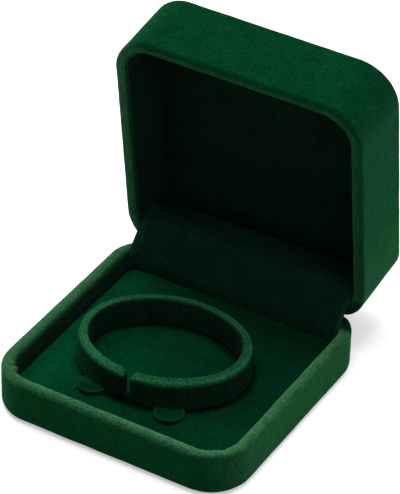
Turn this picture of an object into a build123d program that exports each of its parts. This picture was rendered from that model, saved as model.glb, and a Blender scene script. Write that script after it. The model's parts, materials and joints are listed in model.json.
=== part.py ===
"""A square velvet bracelet box with its lid open, in millimetres.

X runs across the box, +Y to the hinge and +Z up. The origin is the centre of the underside.
The lid is drawn in the place that it has when it is open against its stop.
"""

from build123d import *
import os
from math import atan2, cos, degrees, radians, sin, tan

os.makedirs("parts", exist_ok=True)

# The box as a whole
box_width = 95.0
box_depth = 95.0
corner_radius = 14.6
base_height = 16.3
lid_height = 26.6
rim_gap = 0.3
open_angle = 82.2

# Velvet wrap and the glue under it
velvet = 0.9
glue = 0.05
skin = velvet + glue
base_turn_in = 6.0
lid_turn_in = 7.0
hem_width = 7.0

# Moulded shells
shell_wall = 2.5
lid_wall_relief = 0.5
shell_floor = 1.6
lid_wall = shell_wall - lid_wall_relief
base_rim = skin + shell_wall + skin
lid_rim = skin + lid_wall + skin
shell_rim_round = 0.55
shell_rim_inner_round = 0.25
base_edge_round = 1.55
lid_edge_round = 0.3

# Underside panel, which the box stands on
panel_proud = 0.3
panel_clearance = 0.2
base_body_height = base_height - panel_proud

# Velvet strips on the side walls
lining = 0.7
lining_start = 2.0
lining_clearance = 0.1

# Steel hinge at the rim, sunk behind the flap
leaf_thickness = 0.6
knuckle_radius = 1.15
pin_radius = 0.6
pin_clearance = 0.05
pin_head_radius = 0.95
pin_head = 0.5
hinge_length = 50.0
knuckle_count = 5
knuckle_gap = 0.3
leaf_reach = 8.5
swing_clearance = 0.35
bevel_clearance = 0.15
land_margin = 1.0
hinge_y = box_depth / 2 - skin - shell_wall - leaf_thickness + knuckle_radius
leaf_front = hinge_y - knuckle_radius
leaf_back = leaf_front + leaf_thickness
bevel_angle = open_angle / 2

# Rivets and the two-fingered snap spring
rivet_radius = 0.8
rivet_head_radius = 1.5
rivet_head = 0.45
rivet_clearance = 0.05
rivet_depth = 6.0
rivet_spread = 20.0
spring_thickness = 0.4
spring_width = 34.0
spring_band = 3.4
spring_finger = 6.0
spring_tip_depth = 1.1

# Pad in the base
pad_recess = 7.6
pad_side_gap = 0.3
pad_back_margin = 9.6
pad_back_round = 4.0
pad_velvet = 0.8
pad_foam_height = 1.95
pad_board_height = 1.5
pad_edge_round = 0.7
riser_inset = 3.0
riser_width = 8.0
pad_top = base_height - pad_recess

# C-shaped bracelet ring and its two tongues, placed from the middle of the pad
ring_shift_x = -2.8
ring_shift_y = -1.75
ring_length = 60.2
ring_breadth = 48.0
ring_end_share = 0.854
ring_turn = 10.0
ring_height = 11.5
ring_core_thickness = 1.6
ring_velvet = 0.8
ring_glue = 0.05
ring_edge_round = 1.1
ring_tip_round = 4.2
ring_tip_top_round = 1.6
ring_seam = 0.4
ring_gap = 2.4
ring_gap_place = -3.8
ring_gap_turn = 12.0
ring_band = ring_core_thickness + 2 * (ring_velvet + ring_glue)
tab_left_place = -14.7
tab_right_place = 15.3
tab_left_reach = 4.7
tab_right_reach = 3.9
tab_width = 10.6
tab_length = 11.0
tab_thickness = 1.2
tab_edge_round = 0.4
tab_clearance = 0.1

# Padded panel inside the lid
lid_panel_side_gap = 0.3
lid_panel_hinge_margin = 5.9
lid_panel_hinge_round = 6.0
lid_panel_velvet = 0.8
lid_panel_foam_height = 1.0
lid_panel_board_height = 1.0
lid_panel_edge_round = 0.7

# Velvet flap over the hinge
flap_width = 84.4
flap_thickness = 1.0
flap_pad_gap = 0.3
flap_apex_rise = 10.3
flap_apex_back = 8.7
flap_foot_bend = 8.0
flap_bend = 6.5
flap_tuck_bend = 2.5
flap_wall_gap = 0.3
flap_tuck_clearance = 0.4

overrun = 2.0
slope = tan(radians(bevel_angle))


def base_level(depth):
    """Plane at a depth below the base's rim, with +Z down into the base and +Y to the hinge."""
    return Plane(origin=(0, 0, base_height - depth), x_dir=(-1, 0, 0), z_dir=(0, 0, -1))


def lid_level(depth):
    """Plane at a depth inside the open lid's rim, with +Z into the lid and +Y to the hinge."""
    turn = radians(open_angle)
    rise = rim_gap + depth
    y = hinge_y - hinge_y * cos(turn) + rise * sin(turn)
    z = base_height + hinge_y * sin(turn) + rise * cos(turn)
    return Plane(origin=(0, y, z), x_dir=(1, 0, 0), z_dir=(0, sin(turn), cos(turn)))


def side_plane(level):
    """Cross-section plane of a half: its X runs to the hinge and its Y into the half."""
    rim = level(0)
    return Plane(origin=rim.origin, x_dir=rim.y_dir, z_dir=rim.x_dir)


def depth_axis(level):
    """Axis from a half's rim into it."""
    return Axis(level(0).origin, level(0).z_dir)


def plan(inset):
    """Rounded square outline of the box, drawn in by an inset."""
    RectangleRounded(box_width - 2 * inset, box_depth - 2 * inset, corner_radius - inset)


def back_bevel(level, axis_depth, offset):
    """Cut the slanted face behind the hinge axis, where the open halves meet."""
    shift = offset / sin(radians(bevel_angle))
    top = -overrun
    near = hinge_y - shift + (top - axis_depth) / slope
    far = box_depth / 2 + overrun
    with BuildSketch(side_plane(level)) as wedge:
        with BuildLine():
            Polyline(
                (near, top),
                (far, axis_depth + (far - hinge_y + shift) * slope),
                (far, top),
                close=True,
            )
        make_face()
    extrude(wedge.sketch, amount=box_width, both=True, mode=Mode.SUBTRACT)


def hinge_channel(level, axis_depth):
    """Cut the round channel that the hinge's barrel turns in."""
    with BuildSketch(side_plane(level)) as bore:
        with Locations((hinge_y, axis_depth)):
            Circle(knuckle_radius + swing_clearance)
    reach = hinge_length / 2 + pin_head + swing_clearance
    extrude(bore.sketch, amount=reach, both=True, mode=Mode.SUBTRACT)


def shell_body(level, height, wall, edge_round, axis_depth, grow):
    """Moulded tray under the velvet, or, grown by the glue, the room that it takes up."""
    outer = skin - grow
    with BuildPart() as tray:
        with BuildSketch(level(outer)):
            plan(outer)
        extrude(amount=height - 2 * outer)
        far_face = tray.faces().sort_by(depth_axis(level))[-1]
        fillet(far_face.edges(), edge_round + grow)
        with BuildSketch(level(outer)):
            plan(skin + wall + grow)
        extrude(amount=height - outer - skin - shell_floor, mode=Mode.SUBTRACT)
        rim_face = tray.faces().sort_by(depth_axis(level))[0]
        fillet(rim_face.outer_wire().edges(), shell_rim_round + grow)
        rim_face = tray.faces().sort_by(depth_axis(level))[0]
        fillet(rim_face.inner_wires()[0].edges(), shell_rim_inner_round + grow)
        back_bevel(level, axis_depth, bevel_clearance + outer)
    return tray.part


def rivet_seat(level, x, y, depth):
    """Plane square to a half's back wall, with +Z to the outside."""
    place = level(depth)
    origin = place.from_local_coords(Vector(x, y, 0))
    return Plane(origin=origin, x_dir=place.x_dir, z_dir=place.y_dir)


def rivet_holes(level, y, xs):
    """Cut a row of rivet holes from a depth y in the back wall outwards."""
    for x in xs:
        with BuildSketch(rivet_seat(level, x, y, rivet_depth)) as hole:
            Circle(rivet_radius + rivet_clearance)
        extrude(hole.sketch, amount=box_depth / 2 - y, mode=Mode.SUBTRACT)


def wrap_body(level, height, rim, wall, edge_round, turn_in, axis_depth, notch_width):
    """Velvet over a shell's outside and rim, turned in over the top of its inner wall."""
    room = shell_body(level, height, wall, edge_round, axis_depth, glue)
    with BuildPart() as wrap:
        with BuildSketch(level(0)):
            plan(0)
        extrude(amount=height)
        far_face = wrap.faces().sort_by(depth_axis(level))[-1]
        fillet(far_face.edges(), edge_round + skin)
        with BuildSketch(level(0)):
            plan(rim)
        extrude(amount=height - velvet, mode=Mode.SUBTRACT)
        rim_face = wrap.faces().sort_by(depth_axis(level))[0]
        fillet(rim_face.outer_wire().edges(), shell_rim_round + skin)
        rim_face = wrap.faces().sort_by(depth_axis(level))[0]
        fillet(rim_face.inner_wires()[0].edges(), shell_rim_inner_round + skin)
        with BuildSketch(level(turn_in)):
            plan(rim - velvet)
        extrude(amount=height - velvet - turn_in, mode=Mode.SUBTRACT)
        back_bevel(level, axis_depth, bevel_clearance)
        add(room, mode=Mode.SUBTRACT)
        hinge_channel(level, axis_depth)
        notch_front = box_depth / 2 - rim - overrun
        notch_back = box_depth / 2 - skin - wall
        with BuildSketch(level(-overrun)):
            with Locations((0, (notch_front + notch_back) / 2)):
                Rectangle(notch_width, notch_back - notch_front)
        extrude(amount=turn_in + 2 * overrun, mode=Mode.SUBTRACT)
    return wrap.part


def wall_strip(level, rim, start, end):
    """Velvet strip along the front and side walls, ending where the back corners begin."""
    with BuildPart() as strip:
        with BuildSketch(level(start)):
            plan(rim + lining_clearance)
            with BuildSketch(mode=Mode.SUBTRACT):
                plan(rim + lining_clearance + lining)
            with Locations((0, box_depth - corner_radius)):
                Rectangle(box_width, box_depth, mode=Mode.SUBTRACT)
        extrude(amount=end - start)
    return strip.part


def hinge_leaf(level, axis_depth, own, others, rivet_xs):
    """Leaf of the hinge: a plate on the back wall with its share of the knuckles."""
    pitch = hinge_length / knuckle_count
    first = -hinge_length / 2 + pitch / 2
    side = side_plane(level)
    with BuildPart() as leaf:
        with BuildSketch(side):
            with Locations(((leaf_front + leaf_back) / 2, axis_depth + leaf_reach / 2)):
                Rectangle(leaf_thickness, leaf_reach)
        extrude(amount=hinge_length / 2, both=True)
        for index in others:
            with BuildSketch(side.offset(first + index * pitch)):
                with Locations((hinge_y, axis_depth)):
                    Circle(knuckle_radius + swing_clearance)
            extrude(amount=(pitch + knuckle_gap) / 2, both=True, mode=Mode.SUBTRACT)
        for index in own:
            with BuildSketch(side.offset(first + index * pitch)):
                with Locations((hinge_y, axis_depth)):
                    Circle(knuckle_radius)
            extrude(amount=(pitch - knuckle_gap) / 2, both=True)
        with BuildSketch(side):
            with Locations((hinge_y, axis_depth)):
                Circle(pin_radius + pin_clearance)
        extrude(amount=hinge_length, both=True, mode=Mode.SUBTRACT)
        rivet_holes(level, leaf_front - overrun, rivet_xs)
    return leaf.part


def rivet_row(level, heads):
    """Rivets from a list of places and head seats, their tails flush with the shell."""
    with BuildPart() as row:
        for x, seat in heads:
            with BuildSketch(rivet_seat(level, x, seat, rivet_depth)):
                Circle(rivet_radius)
            extrude(amount=box_depth / 2 - skin - seat)
            with BuildSketch(rivet_seat(level, x, seat, rivet_depth)):
                Circle(rivet_head_radius)
            extrude(amount=-rivet_head)
    return row.part


def save(part, name):
    """Label a piece and write it under its own name."""
    part.label = name
    export_step(part, f"parts/{name}.step")


rivet_xs = [-rivet_spread, 0, rivet_spread]
channel_width = hinge_length + 2 * (pin_head + swing_clearance)
land_width = channel_width + 2 * land_margin

# Base shell, riveted to the hinge at its back wall
tray = shell_body(base_level, base_body_height, shell_wall, base_edge_round, 0, 0)
with BuildPart() as base_shell:
    add(tray)
    hinge_channel(base_level, 0)
    rivet_holes(base_level, leaf_back - shell_wall, rivet_xs)
save(base_shell.part, "base_shell")

# Velvet of the base, open underneath inside its hem
wrap = wrap_body(
    base_level, base_body_height, base_rim, shell_wall, base_edge_round, base_turn_in, 0, channel_width
)
with BuildPart() as base_cover:
    add(wrap)
    with BuildSketch(base_level(base_body_height + overrun)):
        plan(hem_width)
    extrude(amount=-overrun - velvet - glue, mode=Mode.SUBTRACT)
save(base_cover.part, "base_cover")

# Panel under the base, glued in the hem's opening
with BuildPart() as base_bottom_panel:
    with BuildSketch(Plane.XY):
        plan(hem_width + panel_clearance)
    extrude(amount=panel_proud + skin)
save(base_bottom_panel.part, "base_bottom_panel")

# Velvet strip round the inside of the base
base_floor_depth = base_body_height - skin - shell_floor
base_wall_lining = wall_strip(base_level, base_rim, lining_start, base_floor_depth)
save(base_wall_lining, "base_wall_lining")

# Pad in the base: riser frame, board, foam and velvet
pad_inset = base_rim + lining_clearance + lining + pad_side_gap
pad_width = box_width - 2 * pad_inset
pad_front_y = -box_depth / 2 + pad_inset
pad_back_y = box_depth / 2 - pad_back_margin
pad_center_y = (pad_front_y + pad_back_y) / 2
pad_front_round = corner_radius - pad_inset
floor_z = base_height - base_floor_depth
board_z = pad_top - pad_velvet - pad_foam_height - pad_board_height


def pad_outline(inset):
    """Outline of the pad, with small back corners, drawn in by an inset."""
    with BuildSketch() as outline:
        with Locations((0, pad_center_y)):
            Rectangle(pad_width - 2 * inset, pad_back_y - pad_front_y - 2 * inset)
        fillet(outline.vertices().group_by(Axis.Y)[0], pad_front_round - inset)
        fillet(outline.vertices().group_by(Axis.Y)[-1], pad_back_round - inset)
    return outline.sketch


with BuildPart() as pad_riser:
    with BuildSketch(Plane.XY.offset(floor_z)):
        add(pad_outline(riser_inset))
        window_width = pad_width - 2 * (riser_inset + riser_width)
        window_depth = pad_back_y - pad_front_y - 2 * (riser_inset + riser_width)
        with Locations((0, pad_center_y)):
            RectangleRounded(window_width, window_depth, pad_back_round, mode=Mode.SUBTRACT)
    extrude(amount=board_z - floor_z)
save(pad_riser.part, "pad_riser")

with BuildPart() as pad_board:
    with BuildSketch(Plane.XY.offset(board_z)):
        add(pad_outline(pad_velvet + glue))
    extrude(amount=pad_board_height)
save(pad_board.part, "pad_board")

with BuildPart() as pad_foam:
    with BuildSketch(Plane.XY.offset(board_z + pad_board_height)):
        add(pad_outline(pad_velvet + glue))
    extrude(amount=pad_foam_height)
save(pad_foam.part, "pad_foam")

with BuildPart() as pad_cover:
    with BuildSketch(Plane.XY.offset(board_z)):
        add(pad_outline(0))
    extrude(amount=pad_top - board_z)
    fillet(pad_cover.faces().sort_by(Axis.Z)[-1].edges(), pad_edge_round)
    with BuildSketch(Plane.XY.offset(board_z)):
        add(pad_outline(pad_velvet))
    extrude(amount=pad_top - pad_velvet - board_z, mode=Mode.SUBTRACT)
save(pad_cover.part, "pad_cover")

# C-shaped ring that holds the bracelet: a moulded band in a velvet sleeve
ring_center_x = ring_shift_x
ring_center_y = pad_center_y + ring_shift_y
ring_end_radius = ring_end_share * ring_breadth / 2
ring_skin = ring_velvet + ring_glue
ring_plane = Plane(origin=(ring_center_x, ring_center_y, pad_top)).rotated((0, 0, ring_turn))


def ring_oval(inset):
    """Oval of the ring from four tangent arcs, drawn in by an inset."""
    end_x = ring_length / 2 - ring_end_radius
    half_breadth = ring_breadth / 2
    bulge = end_x**2 + half_breadth**2 - ring_end_radius**2
    side_radius = bulge / (2 * (half_breadth - ring_end_radius))
    side_y = side_radius - half_breadth
    spread = degrees(atan2(side_y, end_x))
    with BuildLine() as outline:
        CenterArc((end_x, 0), ring_end_radius - inset, -spread, 2 * spread)
        CenterArc((0, -side_y), side_radius - inset, spread, 180 - 2 * spread)
        CenterArc((-end_x, 0), ring_end_radius - inset, 180 - spread, 2 * spread)
        CenterArc((0, side_y), side_radius - inset, 180 + spread, 180 - 2 * spread)
    make_face(outline.edges())


def ring_outline(inset, end_inset):
    """C-shaped plan of the band, drawn in by an inset along it and another at its two tips."""
    gap_angle = ring_gap_turn - ring_turn
    with BuildSketch() as outline:
        ring_oval(inset)
        with BuildSketch(mode=Mode.SUBTRACT):
            ring_oval(ring_band - inset)
        with Locations((ring_gap_place, -ring_breadth / 2)):
            Rectangle(ring_gap + 2 * end_inset, ring_breadth, rotation=gap_angle, mode=Mode.SUBTRACT)
    return outline.sketch


def ring_body(inset):
    """The ring with its rounded tips and edges, drawn in by an inset on every side."""
    with BuildPart() as band:
        with BuildSketch(ring_plane.offset(inset)):
            add(ring_outline(inset, inset))
        extrude(amount=ring_height - 2 * inset)
        across = band.edges().filter_by(GeomType.LINE).filter_by(Plane.XY)
        fillet(across.group_by(Axis.Z)[0], ring_tip_round - inset)
        fillet(across.group_by(Axis.Z)[-1], ring_tip_top_round - inset)
        top_face = band.faces().sort_by(Axis.Z)[-1]
        fillet(top_face.edges().filter_by(GeomType.CIRCLE), ring_edge_round - inset)
    return band.part


ring_core = ring_body(ring_skin)
save(ring_core, "ring_core")

# The sleeve's two edges meet in a seam under the band
ring_sleeve = ring_body(0)
ring_room = ring_body(ring_velvet)
with BuildPart() as ring_cover:
    add(ring_sleeve)
    add(ring_room, mode=Mode.SUBTRACT)
    with BuildSketch(ring_plane):
        add(ring_outline((ring_band - ring_seam) / 2, ring_tip_round))
    extrude(amount=ring_skin, mode=Mode.SUBTRACT)
save(ring_cover.part, "ring_cover")

# Half-oval velvet tongues at the ring's foot
for name, place, reach in (
    ("tab_left", tab_left_place, tab_left_reach),
    ("tab_right", tab_right_place, tab_right_reach),
):
    tab_front_y = ring_center_y - ring_breadth / 2 - reach
    with BuildPart() as tab:
        with BuildSketch(Plane.XY.offset(pad_top)):
            with Locations((ring_center_x + place, tab_front_y + tab_length / 2)):
                Ellipse(tab_width / 2, tab_length / 2)
        extrude(amount=tab_thickness)
        with BuildSketch(ring_plane):
            ring_oval(-tab_clearance)
        extrude(amount=tab_thickness, mode=Mode.SUBTRACT)
        fillet(tab.faces().sort_by(Axis.Z)[-1].edges().sort_by(Axis.Y)[0], tab_edge_round)
    save(tab.part, name)

# Lid shell, with a land that makes its back wall as thick as the base's at the hinge
tray = shell_body(lid_level, lid_height, lid_wall, lid_edge_round, -rim_gap, 0)
with BuildPart() as lid_shell:
    add(tray)
    land_back = leaf_back + lid_wall_relief + glue
    with BuildSketch(lid_level(skin + shell_rim_round)):
        with Locations((0, (leaf_back + land_back) / 2)):
            Rectangle(land_width, land_back - leaf_back)
    extrude(amount=leaf_reach)
    back_bevel(lid_level, -rim_gap, bevel_clearance + skin)
    hinge_channel(lid_level, -rim_gap)
    rivet_holes(lid_level, leaf_back - shell_wall, rivet_xs)
save(lid_shell.part, "lid_shell")

# Velvet of the lid
lid_cover = wrap_body(
    lid_level, lid_height, lid_rim, lid_wall, lid_edge_round, lid_turn_in, -rim_gap, land_width + 2 * glue
)
save(lid_cover, "lid_cover")

# Velvet strip round the inside of the lid
lid_floor_depth = lid_height - skin - shell_floor
lid_wall_lining = wall_strip(lid_level, lid_rim, lining_start, lid_floor_depth)
save(lid_wall_lining, "lid_wall_lining")

# Padded panel inside the lid: board, foam and velvet
panel_inset = lid_rim + lining_clearance + lining + lid_panel_side_gap
panel_width = box_width - 2 * panel_inset
panel_front_y = -box_depth / 2 + panel_inset
panel_back_y = box_depth / 2 - lid_panel_hinge_margin
panel_front_round = corner_radius - panel_inset


def panel_outline(inset):
    """Outline of the lid's panel, drawn in by an inset."""
    with BuildSketch() as outline:
        with Locations((0, (panel_front_y + panel_back_y) / 2)):
            Rectangle(panel_width - 2 * inset, panel_back_y - panel_front_y - 2 * inset)
        fillet(outline.vertices().group_by(Axis.Y)[0], panel_front_round - inset)
        fillet(outline.vertices().group_by(Axis.Y)[-1], lid_panel_hinge_round - inset)
    return outline.sketch


foam_depth = lid_floor_depth - lid_panel_board_height
panel_face_depth = foam_depth - lid_panel_foam_height - lid_panel_velvet

with BuildPart() as lid_panel_board:
    with BuildSketch(lid_level(foam_depth)):
        add(panel_outline(lid_panel_velvet + glue))
    extrude(amount=lid_panel_board_height)
save(lid_panel_board.part, "lid_panel_board")

with BuildPart() as lid_panel_foam:
    with BuildSketch(lid_level(foam_depth)):
        add(panel_outline(lid_panel_velvet + glue))
    extrude(amount=-lid_panel_foam_height)
save(lid_panel_foam.part, "lid_panel_foam")

with BuildPart() as lid_panel_cover:
    with BuildSketch(lid_level(lid_floor_depth)):
        add(panel_outline(0))
    extrude(amount=panel_face_depth - lid_floor_depth)
    shown_face = lid_panel_cover.faces().sort_by(depth_axis(lid_level))[0]
    fillet(shown_face.edges(), lid_panel_edge_round)
    with BuildSketch(lid_level(lid_floor_depth)):
        add(panel_outline(lid_panel_velvet))
    extrude(amount=panel_face_depth + lid_panel_velvet - lid_floor_depth, mode=Mode.SUBTRACT)
save(lid_panel_cover.part, "lid_panel_cover")

# Hinge: two leaves, a headed pin, rivets and the snap spring
base_knuckles = range(0, knuckle_count, 2)
lid_knuckles = range(1, knuckle_count, 2)
save(hinge_leaf(base_level, 0, base_knuckles, lid_knuckles, rivet_xs), "hinge_leaf_base")
save(hinge_leaf(lid_level, -rim_gap, lid_knuckles, base_knuckles, rivet_xs), "hinge_leaf_lid")

hinge_side = side_plane(base_level)
with BuildPart() as hinge_pin:
    with BuildSketch(hinge_side):
        with Locations((hinge_y, 0)):
            Circle(pin_radius)
    extrude(amount=hinge_length / 2 + pin_head, both=True)
    for end in (-1, 1):
        with BuildSketch(hinge_side.offset(end * hinge_length / 2)):
            with Locations((hinge_y, 0)):
                Circle(pin_head_radius)
        extrude(amount=end * pin_head)
save(hinge_pin.part, "hinge_pin")

spring_front = leaf_front - spring_thickness
pitch = hinge_length / knuckle_count
with BuildPart() as snap_spring:
    with BuildSketch(rivet_seat(base_level, 0, spring_front, rivet_depth)):
        Rectangle(spring_width, spring_band)
        with Locations((-pitch, 0), (pitch, 0)):
            Rectangle(spring_finger, rivet_depth - spring_tip_depth, align=(Align.CENTER, Align.MAX))
        Circle(rivet_radius + rivet_clearance, mode=Mode.SUBTRACT)
    extrude(amount=spring_thickness)
save(snap_spring.part, "snap_spring")

base_heads = [(-rivet_spread, leaf_front), (0, spring_front), (rivet_spread, leaf_front)]
save(rivet_row(base_level, base_heads), "base_rivets")
save(rivet_row(lid_level, [(x, leaf_front) for x in rivet_xs]), "lid_rivets")

# Velvet flap over the hinge, from behind the pad up and over into the lid
flap_front = pad_back_y + flap_pad_gap
seam = lid_level(panel_face_depth).from_local_coords(
    Vector(0, panel_back_y + flap_tuck_clearance, 0)
)
tuck = lid_level(lid_floor_depth - flap_tuck_clearance).from_local_coords(
    Vector(0, panel_back_y + flap_tuck_clearance, 0)
)
with BuildPart() as hinge_flap:
    with BuildSketch(Plane.YZ):
        with BuildLine():
            FilletPolyline(
                (flap_front, floor_z),
                (flap_front, pad_top),
                (flap_front + flap_apex_back, base_height + flap_apex_rise),
                (seam.Y, seam.Z),
                (tuck.Y, tuck.Z),
                radius=[flap_foot_bend, flap_bend, flap_tuck_bend],
            )
            offset(amount=flap_thickness, side=Side.RIGHT)
        make_face()
    extrude(amount=flap_width / 2, both=True)
    for level, rim in ((base_level, base_rim), (lid_level, lid_rim)):
        with BuildSketch(level(-flap_wall_gap)):
            Rectangle(2 * box_width, 2 * box_depth)
            with BuildSketch(mode=Mode.SUBTRACT):
                plan(rim + flap_wall_gap)
        extrude(amount=lid_height, mode=Mode.SUBTRACT)
save(hinge_flap.part, "hinge_flap")
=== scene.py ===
"""Looks of a green velvet bracelet box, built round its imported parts.

Lengths are in metres. X runs across the box, +Y to the hinge and +Z up.
A half of the box is drawn in its own coordinates (x, y, depth), where depth is measured from its
rim into it, and is then placed as the base or as the open lid.
"""

import json
import math

import bpy
import numpy as np
from mathutils import Matrix, Vector, noise


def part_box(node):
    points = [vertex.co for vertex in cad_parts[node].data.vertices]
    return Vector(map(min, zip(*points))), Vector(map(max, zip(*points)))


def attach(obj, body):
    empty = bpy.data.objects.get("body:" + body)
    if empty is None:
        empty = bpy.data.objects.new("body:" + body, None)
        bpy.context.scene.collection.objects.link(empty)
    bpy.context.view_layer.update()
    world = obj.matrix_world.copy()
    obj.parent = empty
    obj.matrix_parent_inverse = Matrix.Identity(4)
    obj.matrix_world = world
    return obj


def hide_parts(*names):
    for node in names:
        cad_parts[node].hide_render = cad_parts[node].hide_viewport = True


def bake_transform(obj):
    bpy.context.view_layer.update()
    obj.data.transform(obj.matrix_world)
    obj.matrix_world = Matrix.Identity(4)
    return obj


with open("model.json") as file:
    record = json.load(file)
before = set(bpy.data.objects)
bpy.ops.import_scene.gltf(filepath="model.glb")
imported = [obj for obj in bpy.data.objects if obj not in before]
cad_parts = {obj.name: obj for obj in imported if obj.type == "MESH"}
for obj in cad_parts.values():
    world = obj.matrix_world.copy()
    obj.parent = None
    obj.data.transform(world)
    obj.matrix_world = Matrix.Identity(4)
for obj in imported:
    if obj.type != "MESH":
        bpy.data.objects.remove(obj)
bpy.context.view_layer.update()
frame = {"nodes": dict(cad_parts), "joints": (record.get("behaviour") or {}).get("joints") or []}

MM = 0.001

# The box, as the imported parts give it
base_low, base_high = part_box("base_cover")
box_width = base_high.x - base_low.x
box_depth = base_high.y - base_low.y
base_height = base_high.z
hinge = frame["joints"][0]
hinge_y, hinge_z = hinge["pos_m"][1:]
open_angle = math.radians(hinge["range_deg"][1])
slope = math.tan(open_angle / 2)
pad_low, pad_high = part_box("pad_cover")

# Driving sizes that the two halves share
corner_radius = 14.6 * MM
front_corner = corner_radius + 0.45 * MM
lid_height = 26.6 * MM
rim_gap = 0.3 * MM
velvet = 0.9 * MM
pile = 0.2 * MM
lid_puff = 0.9 * MM
skin = 0.95 * MM
panel_proud = 0.3 * MM
hem_width = 7.0 * MM
lid_face_start = 8.0 * MM
base_rim = 4.4 * MM
lid_rim = 3.9 * MM
rim_roll = 1.5 * MM
rim_inner_roll = 1.2 * MM
rim_edge = 0.5 * MM
base_edge_roll = 2.4 * MM
lid_edge_roll = 1.25 * MM
base_turn_in = 6.0 * MM
lid_turn_in = 7.0 * MM
bevel_clearance = 0.15 * MM
bevel_softness = 0.5 * MM
bevel_fade = 8 * MM
channel_radius = 1.5 * MM
channel_half_width = 25.85 * MM


# Shaping helpers


def arc(center, radius, start, end, count):
    """Points of a circular arc in a plane, from one angle in degrees to another."""
    angles = np.radians(np.linspace(start, end, count))
    return [(center[0] + radius * math.cos(a), center[1] + radius * math.sin(a)) for a in angles]


def line(start, end, count):
    """Evenly spaced points after a start, up to and with an end."""
    return [
        (start[0] + (end[0] - start[0]) * k / count, start[1] + (end[1] - start[1]) * k / count)
        for k in range(1, count + 1)
    ]


def smooth(share):
    """Share from 0 to 1 with soft ends."""
    share = np.clip(share, 0, 1)
    return share * share * (3 - 2 * share)


def step(value, start, end):
    """Soft step of a value: 0 up to the start and 1 from the end, which may lie below it."""
    return smooth((value - start) / (end - start))


def base_place(points):
    """From the base's own coordinates to the frame."""
    return np.stack([points[:, 0], points[:, 1], base_height - points[:, 2]], axis=1)


def lid_place(points):
    """From the lid's own coordinates to the frame, with the lid open."""
    turned, rise = points[:, 1] - hinge_y, rim_gap + points[:, 2]
    return np.stack(
        [
            points[:, 0],
            hinge_y + turned * math.cos(open_angle) + rise * math.sin(open_angle),
            hinge_z - turned * math.sin(open_angle) + rise * math.cos(open_angle),
        ],
        axis=1,
    )


def lid_local(points):
    """The open lid's own y and depth of points in the frame."""
    turned, rise = points[:, 1] - hinge_y, points[:, 2] - hinge_z
    return (
        hinge_y + turned * math.cos(open_angle) - rise * math.sin(open_angle),
        turned * math.sin(open_angle) + rise * math.cos(open_angle) - rim_gap,
    )


def outline(x_half, y_low, y_high, front, back, spacing, extra_x=()):
    """Rounded rectangle as feet, outward normals and radii, so that an inset moves a point to
    foot + (radius - inset) * normal. It runs from the left end of the front to the right. Front
    and back are the corners' radii, and extra_x are points to add along the back."""
    feet, normals, radii = [], [], []

    def side(start, end, normal, radius, extra=()):
        count = max(2, round(math.dist(start, end) / spacing))
        shares = sorted(set(np.linspace(0, 1, count + 1)[1:-1]) | set(extra))
        for share in shares:
            x = start[0] + (end[0] - start[0]) * share
            y = start[1] + (end[1] - start[1]) * share
            feet.append((x - normal[0] * radius, y - normal[1] * radius))
            normals.append(normal)
            radii.append(radius)

    def corner(x, y, radius, first):
        count = max(4, round(radius * math.pi / 2 / spacing))
        for k in range(count + 1):
            angle = math.radians(first + 90 * k / count)
            feet.append((x, y))
            normals.append((math.cos(angle), math.sin(angle)))
            radii.append(radius)

    back_length = 2 * (x_half - back)
    extra = [0.5 - x / back_length for x in extra_x]
    side((-x_half + front, y_low), (x_half - front, y_low), (0, -1), front)
    corner(x_half - front, y_low + front, front, -90)
    side((x_half, y_low + front), (x_half, y_high - back), (1, 0), front)
    corner(x_half - back, y_high - back, back, 0)
    side((x_half - back, y_high), (-x_half + back, y_high), (0, 1), back, extra)
    corner(-x_half + back, y_high - back, back, 90)
    side((-x_half, y_high - back), (-x_half, y_low + front), (-1, 0), front)
    corner(-x_half + front, y_low + front, front, 180)
    return np.array(feet), np.array(normals), np.array(radii)


def ring_at(plan, inset, depth):
    """One closed ring of a half at an inset and a depth."""
    feet, normals, radii = plan
    points = feet + (radii - inset)[:, None] * normals
    return np.column_stack([points, np.full(len(points), depth)])


def disc_rings(ring, shares):
    """Copies of a ring drawn in towards its middle, for a flat face."""
    middle = ring.mean(axis=0)
    return [middle + (ring - middle) * share for share in shares]


def grid_faces(rows, columns, wrap_rows=False):
    """Quads of a grid of points, row by row. Each row is a closed ring."""
    faces = []
    for i in range(rows if wrap_rows else rows - 1):
        row, above = i * columns, (i + 1) % rows * columns
        for j in range(columns):
            k = (j + 1) % columns
            faces.append((row + j, row + k, above + k, above + j))
    return faces


def mesh_vectors(mesh, kind):
    """One vector for each point of a mesh: its place ("co") or its outward "normal"."""
    values = np.zeros(len(mesh.vertices) * 3)
    mesh.vertices.foreach_get(kind, values)
    return values.reshape(-1, 3)


def read_points(piece):
    """Points of a piece's mesh."""
    return mesh_vectors(piece.data, "co")


def read_normals(piece):
    """Outward normals of a piece's points."""
    return mesh_vectors(piece.data, "normal")


def faces_inward(mesh):
    """Whether the faces of a closed mesh point inwards, by the sign of its volume."""
    mesh.calc_loop_triangles()
    corners = np.zeros(len(mesh.loop_triangles) * 3, int)
    mesh.loop_triangles.foreach_get("vertices", corners)
    points = mesh_vectors(mesh, "co")
    a, b, c = (points[corners.reshape(-1, 3)[:, k]] for k in range(3))
    return (a * np.cross(b, c)).sum() < 0


def add_mesh(name, points, faces):
    """Mesh object with outward normals and smooth shading."""
    mesh = bpy.data.meshes.new(name)
    mesh.from_pydata([tuple(p) for p in points], [], faces)
    mesh.validate()
    if faces_inward(mesh):
        mesh.flip_normals()
    mesh.polygons.foreach_set("use_smooth", [True] * len(mesh.polygons))
    piece = bpy.data.objects.new(name, mesh)
    bpy.context.scene.collection.objects.link(piece)
    return piece


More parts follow.
